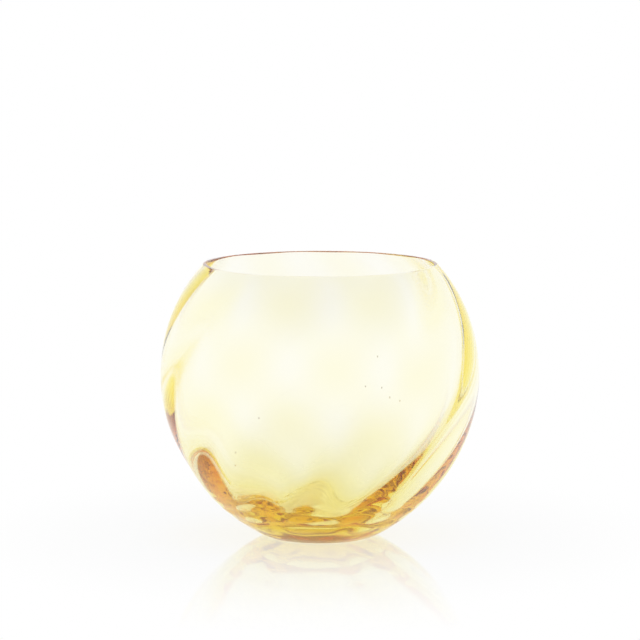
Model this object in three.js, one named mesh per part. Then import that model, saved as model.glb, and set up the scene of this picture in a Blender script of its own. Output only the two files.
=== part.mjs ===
// Blown glass vase: a squat globe of pale yellow glass with a wide cut mouth, a thick flat foot and
// broad soft ribs that wind round the wall. It is one body of glass, as it leaves the blower.
// Millimetres, +Z up, origin at the middle of the foot, -Y towards the viewer.

import * as THREE from 'three';

// Outer form
const height = 137;
const widestRadius = 80;
const widestHeight = 80.3;
const rimRadius = 58.5;
const footRadius = 27.5;
// A curve exponent of 2 gives an ellipse, and less than 2 gives straighter flanks
const shoulderCurve = 2.0;
const flankCurve = 1.84;

// Glass thickness: thin above, and below the widest ring growing with depth towards a heavy floor
const rimWall = 1.9;
const waistWall = 1.65;
const footWall = 9.1;
const wallGrowth = 2.3;
const floorThickness = 11.3;
const floorRounding = 4;

// Ribs from the blowing mould: half of their depth at four heights, and the share of it that shows
// outside. Most of it is inside, because blowing smooths the outer skin
const ribCount = 10;
const ribDepthFoot = 0.9;
const ribDepthWaist = 0.5;
const ribDepthShoulder = 0.7;
const ribDepthRim = 0.6;
const ribFullHeight = 22;
const ribShoulderHeight = 106;
const ribOuterShareFoot = 0.4;
const ribOuterShareWaist = 0.15;
const ribFootFade = 20;
const ribFloorStart = 8;
const ribFloorFull = 42;

// Twist of the ribs: where one crest meets the rim, from -Y towards +X in degrees, and how fast the
// crests turn at three heights, in degrees for each millimetre
const ribStartAngle = -42.5;
const twistFoot = 0.6;
const twistWaist = 0.62;
const twistRim = 0.5;
const twistFootHeight = 30;
const twistWaistHeight = 75;

// Fineness of the faceted surface
const facesPerRib = 8;
const outerRows = 22;
const innerRows = 24;
const twistSteps = 60;

const glassColour = 0xf6e6a0;
const glassRoughness = 0.03;
const glassOpacity = 0.45;

const facesAround = ribCount * facesPerRib;
const degree = Math.PI / 180;

// How far each curve would run past the widest ring, so that it meets the foot and the rim
const flankReach = widestHeight / (1 - (footRadius / widestRadius) ** flankCurve) ** (1 / flankCurve);
const shoulderReach = reachAbove(rimRadius, widestRadius);
const footTurn = -Math.acos((footRadius / widestRadius) ** (flankCurve / 2));
const rimTurn = turnAt(rimRadius, widestRadius);
const innerRimRadius = rimRadius - rimWall;
const innerWidestRadius = widestRadius - waistWall;

function reachAbove(topRadius, fullRadius) {
  return (height - widestHeight) / (1 - (topRadius / fullRadius) ** shoulderCurve) ** (1 / shoulderCurve);
}

function turnAt(topRadius, fullRadius) {
  return Math.acos((topRadius / fullRadius) ** (shoulderCurve / 2));
}

// 0 below the first height, 1 above the second, with a smooth step between them
function fade(from, to, value) {
  const t = Math.min(Math.max((value - from) / (to - from), 0), 1);
  return t * t * (3 - 2 * t);
}

// Straight lines through a few [height, value] stops
function between(stops, z) {
  const last = stops.length - 1;
  if (z <= stops[0][0]) return stops[0][1];
  for (let i = 0; i < last; i++) {
    const [low, high] = [stops[i], stops[i + 1]];
    if (z <= high[0]) return low[1] + ((high[1] - low[1]) * (z - low[0])) / (high[0] - low[0]);
  }
  return stops[last][1];
}

// A point of the wall above the widest ring, and the way out of the glass there
function shoulderPoint(turn, fullRadius, reach) {
  const radius = fullRadius * Math.cos(turn) ** (2 / shoulderCurve);
  const lift = reach * Math.sin(turn) ** (2 / shoulderCurve);
  const outR = (radius / fullRadius) ** (shoulderCurve - 1) / fullRadius;
  const outZ = (lift / reach) ** (shoulderCurve - 1) / reach;
  const size = Math.hypot(outR, outZ);
  return { r: radius, z: widestHeight + lift, outR: outR / size, outZ: outZ / size };
}

// The same below the widest ring, where the turn is negative
function flankPoint(turn) {
  const radius = widestRadius * Math.cos(turn) ** (2 / flankCurve);
  const drop = flankReach * Math.abs(Math.sin(turn)) ** (2 / flankCurve);
  const outR = (radius / widestRadius) ** (flankCurve - 1) / widestRadius;
  const outZ = -((drop / flankReach) ** (flankCurve - 1)) / flankReach;
  const size = Math.hypot(outR, outZ);
  return { r: radius, z: widestHeight - drop, outR: outR / size, outZ: outZ / size };
}

function outerPoint(turn) {
  return turn < 0 ? flankPoint(turn) : shoulderPoint(turn, widestRadius, shoulderReach);
}

// The inside: its own curve above, and below it the outside moved in by the wall, rounded into the floor
function innerPoint(turn) {
  if (turn >= 0) {
    return shoulderPoint(turn, innerWidestRadius, reachAbove(innerRimRadius, innerWidestRadius));
  }
  const point = flankPoint(turn);
  const depth = Math.max(widestHeight - point.z, 0) / widestHeight;
  const wall = waistWall + (footWall - waistWall) * depth ** wallGrowth;
  point.r -= wall * point.outR;
  point.z -= wall * point.outZ;
  const mix = Math.min(Math.max(0.5 + (point.z - floorThickness) / (2 * floorRounding), 0), 1);
  point.z = floorThickness * (1 - mix) + point.z * mix + floorRounding * mix * (1 - mix);
  return point;
}

// Degrees that a crest has turned at a height, counted from the rim down
function twistAt(z) {
  const stops = [[twistFootHeight, twistFoot], [twistWaistHeight, twistWaist], [height, twistRim]];
  const step = (height - z) / twistSteps;
  let turned = 0;
  for (let i = 0; i < twistSteps; i++) turned -= between(stops, z + (i + 0.5) * step) * step;
  return turned;
}

// How much the glass is thicker at one place, from the ribs alone: crests are thick, valleys thin
function ribAt(angle, z) {
  const depth = between([
    [ribFullHeight, ribDepthFoot],
    [widestHeight, ribDepthWaist],
    [ribShoulderHeight, ribDepthShoulder],
    [height, ribDepthRim],
  ], z);
  return depth * Math.cos(ribCount * (angle - ribStartAngle - twistAt(z)) * degree);
}

function outerShareAt(z) {
  return between([[ribFullHeight, ribOuterShareFoot], [widestHeight, ribOuterShareWaist]], z);
}

// One ring of the surface: side is 1 on the outside and -1 on the inside, level keeps its height as it is
function ring(point, side, share, level) {
  const places = [];
  for (let i = 0; i < facesAround; i++) {
    const angle = (360 * i) / facesAround;
    const push = side * share * ribAt(angle, point.z);
    const radius = point.r + push * point.outR;
    const z = level ? point.z : point.z + push * point.outZ;
    places.push(radius * Math.sin(angle * degree), -radius * Math.cos(angle * degree), z);
  }
  return places;
}

// Rings from the foot up the outside, over the rim and down the inside to the floor
function glassRings() {
  const rings = [];
  for (let i = 0; i <= outerRows; i++) {
    const point = outerPoint(footTurn + ((rimTurn - footTurn) * i) / outerRows);
    const level = i === 0 || i === outerRows;
    rings.push(ring(point, 1, outerShareAt(point.z) * fade(0, ribFootFade, point.z), level));
  }
  const innerRimTurn = turnAt(innerRimRadius, innerWidestRadius);
  const floorTurn = -Math.PI / 2;
  for (let i = innerRows; i > 0; i--) {
    const point = innerPoint(floorTurn + ((innerRimTurn - floorTurn) * i) / innerRows);
    const share = (1 - outerShareAt(point.z)) * fade(ribFloorStart, ribFloorFull, point.r);
    rings.push(ring(point, -1, share, i === innerRows));
  }
  return rings;
}

// The closed skin: quads between rings, a fan under the foot and a fan on the floor
function glassGeometry() {
  const rings = glassRings();
  const positions = rings.flat();
  const footCentre = rings.length * facesAround;
  const floorCentre = footCentre + 1;
  positions.push(0, 0, 0);
  positions.push(0, 0, innerPoint(-Math.PI / 2).z);
  const faces = [];
  for (let i = 0; i < facesAround; i++) {
    const next = (i + 1) % facesAround;
    faces.push(next, i, footCentre);
    for (let row = 0; row + 1 < rings.length; row++) {
      const low = row * facesAround;
      const high = low + facesAround;
      faces.push(low + i, low + next, high + next);
      faces.push(low + i, high + next, high + i);
    }
    const last = (rings.length - 1) * facesAround;
    faces.push(last + i, last + next, floorCentre);
  }
  const geometry = new THREE.BufferGeometry();
  geometry.setAttribute('position', new THREE.Float32BufferAttribute(positions, 3));
  geometry.setIndex(faces);
  geometry.computeVertexNormals();
  return geometry;
}

const glass = new THREE.MeshStandardMaterial({
  color: glassColour,
  roughness: glassRoughness,
  metalness: 0,
  transparent: true,
  opacity: glassOpacity,
});

const glassBowl = new THREE.Mesh(glassGeometry(), glass);
glassBowl.name = 'glass_bowl';

const vase = new THREE.Group();
vase.add(glassBowl);

export default vase;
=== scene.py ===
# %% [markdown]
# # A blown glass vase
#
# The object is a squat globe of clear, pale yellow glass with a wide cut mouth, a heavy flat foot
# and ten broad ribs that wind round its wall. It is one body of glass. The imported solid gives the
# size and the place, and this lesson models the finer glass that stands for it, then gives it
# glass, light and a white table.

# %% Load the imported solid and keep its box
import math

import bmesh
import bpy
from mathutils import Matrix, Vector


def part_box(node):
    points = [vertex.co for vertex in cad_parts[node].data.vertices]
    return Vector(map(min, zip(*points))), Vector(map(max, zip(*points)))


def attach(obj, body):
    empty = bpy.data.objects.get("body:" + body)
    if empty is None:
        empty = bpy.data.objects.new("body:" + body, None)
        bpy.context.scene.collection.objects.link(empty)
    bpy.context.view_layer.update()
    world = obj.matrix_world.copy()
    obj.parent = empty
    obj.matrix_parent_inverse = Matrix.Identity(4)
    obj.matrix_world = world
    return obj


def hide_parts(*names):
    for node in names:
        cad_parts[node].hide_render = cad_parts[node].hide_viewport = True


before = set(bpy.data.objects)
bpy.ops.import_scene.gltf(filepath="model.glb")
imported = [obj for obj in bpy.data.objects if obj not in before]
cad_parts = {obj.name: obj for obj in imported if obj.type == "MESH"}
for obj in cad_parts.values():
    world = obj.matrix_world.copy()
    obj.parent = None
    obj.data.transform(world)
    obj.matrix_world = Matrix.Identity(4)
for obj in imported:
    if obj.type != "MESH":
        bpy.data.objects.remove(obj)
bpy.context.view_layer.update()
low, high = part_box("glass_bowl")
height = high.z - low.z
print("The solid is", [round(1000 * side, 1) for side in high - low], "mm")

# %% [markdown]
# ## The camera
#
# The viewer stands in front, a little above the mouth, far enough away that a long lens is needed.
# The far distance keeps the mouth a flat ellipse. The place and the lens were found by matching the
# height of the mouth's front and back edges, the widest ring and the foot.

# %% Stand the camera where the viewer stands
viewer_distance = 1.85
viewer_height = 0.343
aim_height = 0.1085
lens_length = 209.8

view = bpy.data.cameras.new("view")
camera = bpy.data.objects.new("view", view)
bpy.context.scene.collection.objects.link(camera)
camera.location = (0, -viewer_distance, viewer_height)
line_of_sight = Vector((0, 0, aim_height)) - camera.location
camera.rotation_euler = line_of_sight.to_track_quat("-Z", "Y").to_euler()
view.sensor_width = 36
view.lens = lens_length
bpy.context.scene.camera = camera
downward = math.degrees(math.atan2(-line_of_sight.z, viewer_distance))
print("The camera looks down by", round(downward, 1), "degrees")

# %% [markdown]
# ## The outline of the glass
#
# A blower turns the hot bubble all the time, so the form is a turned one: one outline goes round an
# axis. It could be drawn as a curve and lathed, but rings give better control here, because the
# ribs need each ring to be turned and pressed by a different amount. The outline is two curves that
# meet at the widest ring: an ellipse above it, and a slightly straighter curve below.

# %% The outside, as a ring radius at each height
widest_radius = 0.0800
widest_height = 0.0803
rim_radius = 0.0585
foot_radius = 0.0275
shoulder_curve = 2.0
flank_curve = 1.84


def reach_of(end_radius, full_radius, rise, curve):
    return rise / (1 - (end_radius / full_radius) ** curve) ** (1 / curve)


flank_reach = reach_of(foot_radius, widest_radius, widest_height, flank_curve)
shoulder_reach = reach_of(rim_radius, widest_radius, height - widest_height, shoulder_curve)


def on_curve(turn, full_radius, reach, curve):
    """A point of the outline, and the direction that leads out of the glass there."""
    radius = full_radius * max(math.cos(turn), 0) ** (2 / curve)
    lift = reach * abs(math.sin(turn)) ** (2 / curve)
    side = 1 if turn > 0 else -1
    out = Vector(((radius / full_radius) ** (curve - 1) / full_radius, 0,
                  side * (lift / reach) ** (curve - 1) / reach)).normalized()
    return Vector((radius, 0, widest_height + side * lift)), out


def outer_point(turn):
    if turn < 0:
        return on_curve(turn, widest_radius, flank_reach, flank_curve)
    return on_curve(turn, widest_radius, shoulder_reach, shoulder_curve)


print("The outline swings out to", 1000 * widest_radius, "mm at a height of", 1000 * widest_height, "mm")

# %% [markdown]
# ## The inside
#
# Glass runs down while it is soft, so the wall is thin at the shoulder and gathers towards the
# foot, where it is thick enough to be cut and polished flat. The inside is therefore not a copy of
# the outside: above the widest ring it is an ellipse of its own that ends at the cut rim, and below
# it the wall grows with depth until it rounds off into the floor.

# %% The inside follows the outside at a growing distance
rim_wall = 0.0019
waist_wall = 0.00165
foot_wall = 0.0091
wall_growth = 2.3
floor_thickness = 0.0113
floor_rounding = 0.004


def inner_point(turn):
    if turn >= 0:
        inner_rim, inner_widest = rim_radius - rim_wall, widest_radius - waist_wall
        reach = reach_of(inner_rim, inner_widest, height - widest_height, shoulder_curve)
        return on_curve(turn, inner_widest, reach, shoulder_curve)
    point, out = on_curve(turn, widest_radius, flank_reach, flank_curve)
    depth = max(widest_height - point.z, 0) / widest_height
    wall = waist_wall + (foot_wall - waist_wall) * min(depth, 1) ** wall_growth
    point -= wall * out
    mix = min(max(0.5 + (point.z - floor_thickness) / (2 * floor_rounding), 0), 1)
    point.z = floor_thickness * (1 - mix) + point.z * mix + floor_rounding * mix * (1 - mix)
    return point, out


print("The floor of the bowl is", round(1000 * inner_point(-math.pi / 2)[0].z, 1), "mm thick")

# %% [markdown]
# ## Ribs and twist
#
# The ribs come from an optic mould: the gather is pressed into a ribbed cup, then blown larger and
# turned, so the ribs fade as the wall swells and lean as it is twisted. One wave round the ring,
# repeated ten times, describes them at any height. Only the depth of the wave and the angle by
# which it has turned change from ring to ring.

# %% How deep the wave is, which side it shows on, and how far it has turned
rib_count = 10
rib_start = -42.5
depth_stops = [(0.022, 0.0009), (0.0803, 0.0005), (0.106, 0.0007), (0.137, 0.0006)]
outer_share_stops = [(0.022, 0.4), (0.0803, 0.15)]
twist_stops = [(0.030, 600), (0.075, 620), (0.137, 500)]
twist_steps = 60


def between(stops, z):
    """Straight lines through a few stops of height and value."""
    if z <= stops[0][0]:
        return stops[0][1]
    for (z0, v0), (z1, v1) in zip(stops, stops[1:]):
        if z <= z1:
            return v0 + (v1 - v0) * (z - z0) / (z1 - z0)
    return stops[-1][1]


def fade(start, full, value):
    t = min(max((value - start) / (full - start), 0), 1)
    return t * t * (3 - 2 * t)


def twist_at(z):
    """Degrees that a rib has turned at a height, counted from the rim down."""
    step = (height - z) / twist_steps
    return -sum(between(twist_stops, z + (i + 0.5) * step) for i in range(twist_steps)) * step


print("From rim to foot a rib turns by", round(-twist_at(0)), "degrees")

# %% [markdown]
# ## Modelling: one ring after another
#
# The mesh starts as a flat circle on the table. Each step extrudes the last ring, scales it to the
# next radius, lifts it and turns it by the twist, so the columns of the mesh run along the ribs. It
# goes up the outside, over the rim and down the inside. The same could be had from a lathe and a
# Simple Deform twist, but that twists at one rate only, and here the rate changes with height.
# A subdivision surface will smooth the rings at the end. It cuts corners, so each ring is first
# moved out by a third of what it stands off the line between its neighbours.

# %% Where each ring goes
columns_per_rib = 8
columns = rib_count * columns_per_rib
outer_rows = 30
inner_rows = 34
foot_turn = -math.acos((foot_radius / widest_radius) ** (flank_curve / 2))
rim_turn = math.acos((rim_radius / widest_radius) ** (shoulder_curve / 2))
inner_rim_turn = math.acos(((rim_radius - rim_wall) / (widest_radius - waist_wall)) ** (shoulder_curve / 2))
floor_turn = -math.pi / 2


def side_points(point_at, start, end, rows):
    """Rings of one side of the glass from start to end, moved out by what the smoothing will take away."""
    raw = [point_at(start + (end - start) * row / rows) for row in range(rows + 1)]
    placed = [raw[0]]
    for (before, _), (point, out), (after, _) in zip(raw, raw[1:], raw[2:]):
        placed.append((point + (point - (before + after) / 2) / 3, out))
    return placed + [raw[-1]]


outside = side_points(outer_point, foot_turn, rim_turn, outer_rows)
inside = side_points(inner_point, inner_rim_turn, floor_turn, inner_rows)[:-1]
rings = outside + inside
round_loss = (2 + math.cos(2 * math.pi / columns)) / 3
print(len(rings), "rings of", columns, "points")

# %% Grow the glass from a circle
bpy.ops.object.select_all(action="DESELECT")
bpy.ops.mesh.primitive_circle_add(vertices=columns, radius=foot_radius / round_loss, fill_type="NOTHING")
glass = bpy.context.object
glass.name = glass.data.name = "yellow_glass"
bpy.ops.object.mode_set(mode="EDIT")
bpy.ops.mesh.select_mode(type="VERT")


def turn_selected(degrees):
    """Turns to the left round the axis. Without a window the operator's sign is the other way round."""
    bpy.ops.transform.rotate(value=-math.radians(degrees), orient_axis="Z", center_override=(0, 0, 0))


turn_selected(rib_start + twist_at(0) - 180)
for (point, _), (after, _) in zip(rings, rings[1:]):
    bpy.ops.mesh.extrude_region_move(TRANSFORM_OT_translate={"value": (0, 0, after.z - point.z)})
    grow = after.x / point.x
    bpy.ops.transform.resize(value=(grow, grow, 1), center_override=(0, 0, 0))
    turn_selected(twist_at(after.z) - twist_at(point.z))
mesh = bmesh.from_edit_mesh(glass.data)
print(len(mesh.verts), "points,", len(mesh.faces), "faces")

# %% [markdown]
# ## Pressing the ribs
#
# Points are counted ring by ring, and every eighth column stands on a crest. For each ring the
# columns are picked by how far they are from the nearest crest, and moved out of the wall or into
# it along a cosine. On the inside the move has the other sign, so a crest is where the glass is
# thick. The ribs fade out on the flat foot and on the floor, which the blower presses smooth.

# %% Pick columns and move them
foot_fade = 0.020
floor_start = 0.008
floor_full = 0.042
wave_loss = (2 + math.cos(2 * math.pi / columns_per_rib)) / 3


def pick(ring, place):
    """Selects the points of one ring that lie a number of columns away from a crest."""
    mesh.verts.ensure_lookup_table()
    for column in range(columns):
        off = min(column % columns_per_rib, -column % columns_per_rib)
        mesh.verts[ring * columns + column].select = off == place
    bmesh.update_edit_mesh(glass.data, loop_triangles=False, destructive=False)


def wave_depth(ring, point):
    depth = between(depth_stops, point.z) / wave_loss
    outer_share = between(outer_share_stops, point.z)
    if ring <= outer_rows:
        return depth * outer_share * fade(0, foot_fade, point.z)
    return -depth * (1 - outer_share) * fade(floor_start, floor_full, point.x)


bpy.ops.mesh.select_all(action="DESELECT")
level_rings = (0, outer_rows, outer_rows + 1)
for ring, (point, out) in enumerate(rings):
    for place in range(columns_per_rib // 2 + 1):
        push = wave_depth(ring, point) * math.cos(2 * math.pi * place / columns_per_rib)
        if abs(push) < 1e-9:
            continue
        pick(ring, place)
        grow = 1 + push * out.x / point.x
        bpy.ops.transform.resize(value=(grow, grow, 1), center_override=(0, 0, 0))
        if ring not in level_rings:
            bpy.ops.transform.translate(value=(0, 0, push * out.z))
        pick(ring, -1)
print("Ribs are up to", round(2000 * max(value for _, value in depth_stops), 1), "mm from crest to valley")

# %% [markdown]
# ## Foot, floor and rim
#
# The two open ends are filled with a flat face each, and an inset keeps the smoothing from pulling
# the foot off the table. The rim was cracked off the blowing iron, ground flat and polished, so it
# keeps a narrow flat with its two edges just broken. A small bevel makes them.

# %% Close the ends and break the rim's edges
foot_inset = 0.0015
rim_bevel = 0.00025


def select_points(wanted):
    for vertex in mesh.verts:
        vertex.select = wanted(vertex)
    mesh.select_flush_mode()
    bmesh.update_edit_mesh(glass.data)


select_points(lambda vertex: vertex.index < columns)
bpy.ops.mesh.edge_face_add()
bpy.ops.mesh.inset(thickness=foot_inset)
bpy.ops.mesh.inset(thickness=foot_radius / 2)
mesh = bmesh.from_edit_mesh(glass.data)
select_points(lambda vertex: (len(rings) - 1) * columns <= vertex.index < len(rings) * columns)
bpy.ops.mesh.edge_face_add()
bpy.ops.mesh.select_mode(type="EDGE")
mesh = bmesh.from_edit_mesh(glass.data)
for edge in mesh.edges:
    edge.select = all(vertex.co.z > height - 1e-6 for vertex in edge.verts) and abs(
        math.hypot(*edge.verts[0].co.xy) - math.hypot(*edge.verts[1].co.xy)) < rim_wall / 2
bmesh.update_edit_mesh(glass.data)
bpy.ops.mesh.bevel(offset=rim_bevel, segments=2, affect="EDGES")
bpy.ops.mesh.select_all(action="SELECT")
bpy.ops.mesh.normals_make_consistent(inside=False)
bpy.ops.object.mode_set(mode="OBJECT")

# %% [markdown]
# ## Smoothing
#
# The flat facets of the solid cut every circle a little short, and smooth glass would stand out of
# the solid's box by a hair. So the smooth glass is drawn in sideways until it fits that box.

# %% Smooth it and fit the box
smoothing = glass.modifiers.new("smooth", "SUBSURF")
smoothing.levels = smoothing.render_levels = 2
bpy.ops.object.modifier_apply(modifier=smoothing.name)
bpy.ops.object.shade_smooth()
bpy.context.view_layer.update()
fit = min((high - low)[axis] / glass.dimensions[axis] for axis in (0, 1))
bpy.ops.transform.resize(value=(fit, fit, 1), center_override=(0, 0, 0))
bpy.ops.object.transform_apply(location=False, rotation=False, scale=True)
print("The smooth glass has", len(glass.data.polygons), "faces")
print("It is drawn in by", round(100 * (1 - fit), 2), "percent of its width")

# %% [markdown]
# ## Seeds
#
# A few gas bubbles the size of a grain of sand stay in any hand-blown melt. Each one is a small
# hollow in the middle of the wall, drawn out a little as the wall was stretched, and its skin faces
# the gas. One is modelled, copied to its places, and joined to the glass.

# %% Leave a few seeds in the wall
seed_radius = 0.0003
seed_stretch = 1.5
seeds = [(21, 0.100), (16, 0.086), (22, 0.085), (25, 0.080),
         (29, 0.078), (-22, 0.070), (-34, 0.051), (-36, 0.044)]


def mid_wall(degrees, z):
    """A place in the middle of the wall, by its direction from the front and its height."""
    if z < widest_height:
        turn = -math.asin(((widest_height - z) / flank_reach) ** (flank_curve / 2))
    else:
        turn = math.asin(((z - widest_height) / shoulder_reach) ** (shoulder_curve / 2))
    middle = (outer_point(turn)[0] + inner_point(turn)[0]) / 2
    angle = math.radians(degrees)
    return Vector((middle.x * math.sin(angle), -middle.x * math.cos(angle), middle.z))


bpy.ops.object.select_all(action="DESELECT")
bpy.ops.mesh.primitive_ico_sphere_add(subdivisions=2, radius=seed_radius)
seed = bpy.context.object
bpy.ops.object.mode_set(mode="EDIT")
bpy.ops.mesh.select_all(action="SELECT")
bpy.ops.transform.resize(value=(1, 1, seed_stretch), center_override=(0, 0, 0))
bpy.ops.mesh.normals_make_consistent(inside=True)
bpy.ops.object.mode_set(mode="OBJECT")
bpy.ops.object.shade_smooth()
for degrees, z in seeds[1:]:
    bubble = seed.copy()
    bubble.data = seed.data.copy()
    bubble.location = mid_wall(degrees, z)
    bpy.context.scene.collection.objects.link(bubble)
    bubble.select_set(True)
seed.location = mid_wall(*seeds[0])
glass.select_set(True)
bpy.context.view_layer.objects.active = glass
bpy.ops.object.join()
print(len(seeds), "seeds, each", round(2000 * seed_radius, 1), "mm wide")

# %% Check the finished glass
mesh = bmesh.new()
mesh.from_mesh(glass.data)
open_edges = sum(not edge.is_manifold for edge in mesh.edges)
print(len(mesh.faces), "faces,", open_edges, "open edges,", round(1e6 * mesh.calc_volume(), 1), "ml of glass")
mesh.free()

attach(glass, "root")
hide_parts("glass_bowl")

# %% [markdown]
# ## Shader helpers
#
# Shader maths reads best as plain expressions. The small class wraps a socket, so that `1 - mask`
# adds the Math node that it needs. Every other node comes from one method, which takes the node's
# type, its settings and the values or links of its sockets.


# %% Write shader maths as Python
class Wire:
    """An output socket that can be used in an expression."""

    def __init__(self, tree, socket):
        self.tree, self.socket = tree, socket

    def math(self, operation, *others):
        return self.tree.node("ShaderNodeMath", {"operation": operation}, dict(enumerate((self, *others))))

    def __add__(self, other):
        return self.math("ADD", other)

    def __sub__(self, other):
        return self.math("SUBTRACT", other)

    def __rsub__(self, other):
        return self.tree.node("ShaderNodeMath", {"operation": "SUBTRACT"}, {0: other, 1: self})

    def __mul__(self, other):
        return self.math("MULTIPLY", other)

    def __truediv__(self, other):
        return self.math("DIVIDE", other)

    __radd__ = __add__
    __rmul__ = __mul__


class Shader:
    """The node tree of a material or of the world."""

    def __init__(self, owner):
        owner.use_nodes = True
        self.tree = owner.node_tree
        self.tree.nodes.clear()

    def node(self, kind, settings=None, inputs=None, output=0):
        made = self.tree.nodes.new(kind)
        for name, value in (settings or {}).items():
            if name == "stops":
                ramp = made.color_ramp
                while len(ramp.elements) < len(value):
                    ramp.elements.new(1)
                for element, (place, colour) in zip(ramp.elements, value):
                    element.position, element.color = place, colour
            else:
                setattr(made, name, value)
        for name, value in (inputs or {}).items():
            if isinstance(value, Wire):
                self.tree.links.new(value.socket, made.inputs[name])
            else:
                made.inputs[name].default_value = value
        return Wire(self, made.outputs[output]) if made.outputs else None


def smooth_step(shader, value, start, full, low=0.0, high=1.0):
    return shader.node("ShaderNodeMapRange", {"interpolation_type": "SMOOTHSTEP"}, {
        "Value": value, "From Min": start, "From Max": full, "To Min": low, "To Max": high})


print("Shader helpers are ready")

# %% [markdown]
# ## Yellow glass
#
# Glass that is tinted in the melt gets its colour from depth: a thin wall looks nearly clear, and
# the thick foot looks like honey. A coloured surface can't do that, so the surface is clear and the
# colour is Volume Absorption inside. The melt takes blue light first, then green, then a little red.
# Blown glass is never quite even, so a faint bump wanders over it. The tools that shaped the foot
# left wavering rings there, 0.2 mm deep, and the ring that it stands on is scuffed to a dull line.

# %% Glass material
white = (1, 1, 1, 1)
tint_density = 60.0
tint_taken = (0.02, 0.10, 1.00)
ring_depth = 0.00010
ring_spacing = 0.0065
ring_bottom = 0.003
ring_top = 0.025
ring_waver = 0.8
ripple_scale = 35.0
ripple_depth = 0.00002
scuff_scale = 900.0
scuff_height = 0.0012
scuff_dullness = 0.3
glass_ior = 1.5
glass_material = bpy.data.materials.new("yellow_glass")
shader = Shader(glass_material)
place = shader.node("ShaderNodeTexCoord", output="Object")
ripple = shader.node("ShaderNodeTexNoise", inputs={"Vector": place, "Scale": ripple_scale, "Detail": 1.0})
bump = shader.node("ShaderNodeBump", inputs={"Height": ripple, "Strength": 1.0, "Distance": ripple_depth})
x = shader.node("ShaderNodeSeparateXYZ", inputs={0: place}, output="X")
y = shader.node("ShaderNodeSeparateXYZ", inputs={0: place}, output="Y")
z = shader.node("ShaderNodeSeparateXYZ", inputs={0: place}, output="Z")
round_angle = y.math("ARCTAN2", x)
slow_waver = (round_angle * 2 + 1).math("SINE") * ring_waver
quick_waver = (round_angle * 5 + 2).math("SINE") * (ring_waver / 2)
waver = slow_waver + quick_waver
rings_wave = (z * (2 * math.pi / ring_spacing) + waver).math("SINE")
near_foot = smooth_step(shader, z, ring_top / 2, ring_top, 1.0, 0.0)
above_foot = smooth_step(shader, z, 0.0, ring_bottom)
tooled = shader.node("ShaderNodeBump", inputs={
    "Height": rings_wave * near_foot * above_foot, "Strength": 1.0, "Distance": ring_depth, "Normal": bump})
scuff = shader.node("ShaderNodeTexNoise", inputs={"Vector": place, "Scale": scuff_scale, "Detail": 3.0})
worn = shader.node("ShaderNodeMapRange", inputs={
    "Value": z, "From Min": scuff_height, "From Max": 0.0, "To Max": scuff_dullness})
surface = shader.node("ShaderNodeBsdfPrincipled", inputs={
    "Base Color": white, "Roughness": worn * scuff, "IOR": glass_ior, "Transmission Weight": 1.0,
    "Normal": tooled})
body = shader.node("ShaderNodeVolumeAbsorption", inputs={
    "Color": tuple(1 - taken for taken in tint_taken) + (1,), "Density": tint_density})
shader.node("ShaderNodeOutputMaterial", inputs={"Surface": surface, "Volume": body})
glass.data.materials.clear()
glass.data.materials.append(glass_material)
print("Through 10 mm, glass passes",
      [round(math.exp(-tint_density * taken * 0.01), 2) for taken in tint_taken], "of red, green and blue")

# %% [markdown]
# ## White table and light
#
# The vase stands on glossy white in a white surround, which is how glass is lit for a catalogue.
# Lamps would show as bright spots in the glass, so the surround itself is the light: plain white
# all round, and dimmer overhead, because glass with white on every side loses its edges. It has no
# colour and is the same for every ray and from every side, so the gold comes from the glass alone.
# The table glows plain white and keeps a soft shadow. It mirrors the vase as polished acrylic does,
# strongly at a low angle and hardly from above, and the mirror image fades with distance. Light
# that has passed through the vase would warm the table round the foot. Following it would take very
# long, so that warm light is painted into the table's colour as a soft patch without an edge.

# %% Lay the table
table_size = 30.0
table_drop = 0.0002
# light_through is the colour of the painted warm light round the foot
light_through = (0.96, 0.84, 0.40, 1)
painted_light_reach = 0.10
painted_light_share = 0.25
shadow_start = 0.05
shadow_end = 0.20
shadow_share = 0.10
mirror_start = 0.03
mirror_end = 0.24
mirror_share = 1.0
mirror_ior = 1.5
mirror_roughness = 0.03


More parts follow.
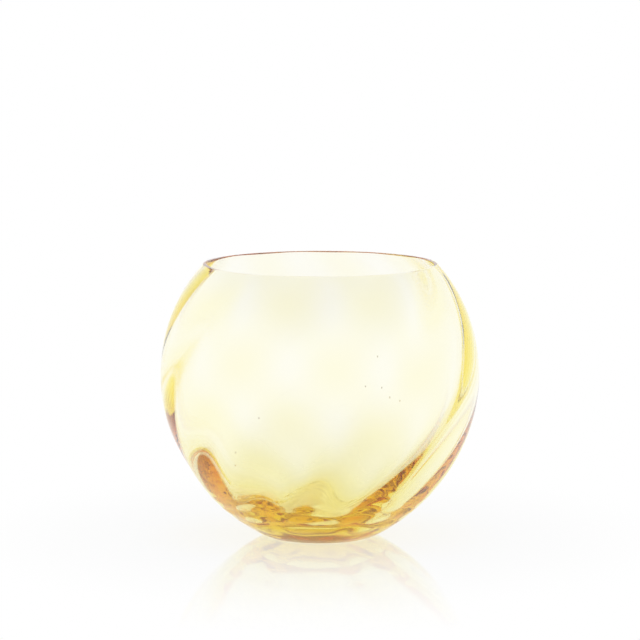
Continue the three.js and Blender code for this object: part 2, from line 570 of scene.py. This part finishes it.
bpy.ops.mesh.primitive_circle_add(
    vertices=96, radius=table_size, fill_type="NGON", location=(0, 0, -table_drop))
table = bpy.context.object
table.name = "table"
bpy.ops.object.transform_apply(location=True)
table_material = bpy.data.materials.new("white_table")
shader = Shader(table_material)
place = shader.node("ShaderNodeTexCoord", output="Object")
away = shader.node("ShaderNodeVectorMath", {"operation": "LENGTH"}, {0: place}, output="Value")
# Painted light: a warm patch round the foot, fading with distance, stands for light that came through the
# glass
painted_light = smooth_step(shader, away, 0.0, painted_light_reach, painted_light_share, 0.0)
shadow = smooth_step(shader, away, shadow_start, shadow_end, shadow_share, 0.0)
mirror = shader.node("ShaderNodeMapRange", inputs={
    "Value": away, "From Min": mirror_start, "From Max": mirror_end, "To Min": mirror_share, "To Max": 0.0})
colour = shader.node("ShaderNodeMix", {"data_type": "RGBA"}, {0: painted_light, 6: white, 7: light_through}, output=2)
glow = shader.node("ShaderNodeEmission", inputs={"Color": colour})
matt = shader.node("ShaderNodeBsdfDiffuse", inputs={"Color": colour})
lit = shader.node("ShaderNodeMixShader", inputs={0: shadow, 1: glow, 2: matt})
gloss = shader.node("ShaderNodeBsdfAnisotropic", inputs={"Color": white, "Roughness": mirror_roughness})
grazing = shader.node("ShaderNodeFresnel", inputs={"IOR": mirror_ior})
glossy_white = shader.node("ShaderNodeMixShader", inputs={0: mirror * grazing, 1: lit, 2: gloss})
shader.node("ShaderNodeOutputMaterial", inputs={"Surface": glossy_white})
table.data.materials.append(table_material)
print("The table is", 2 * table_size, "m across")

# %% Put white all round and a dimmer ceiling overhead
ceiling_from = 0.35
ceiling_full = 0.90
ceiling_level = 0.25
world = bpy.data.worlds.new("white_surround")
bpy.context.scene.world = world
shader = Shader(world)
direction = shader.node("ShaderNodeTexCoord", output="Generated")
up = shader.node("ShaderNodeSeparateXYZ", inputs={0: direction}, output="Z")
level = smooth_step(shader, up, ceiling_from, ceiling_full, 1.0, ceiling_level)
light = shader.node("ShaderNodeBackground", inputs={"Color": white, "Strength": level})
shader.node("ShaderNodeOutputWorld", inputs={"Surface": light})
print("The ceiling has", ceiling_level, "of the light at the horizon")

# %% [markdown]
# ## Last settings
#
# Light that is caught inside the wall needs many bounces before it gets out, and each one is a
# step of gold. The colours are shown as they are.

# %% Finish
scene = bpy.context.scene
scene.view_settings.view_transform = "Standard"
light_bounces = 64
scene.cycles.max_bounces = light_bounces
scene.cycles.transmission_bounces = light_bounces
scene.cycles.glossy_bounces = light_bounces
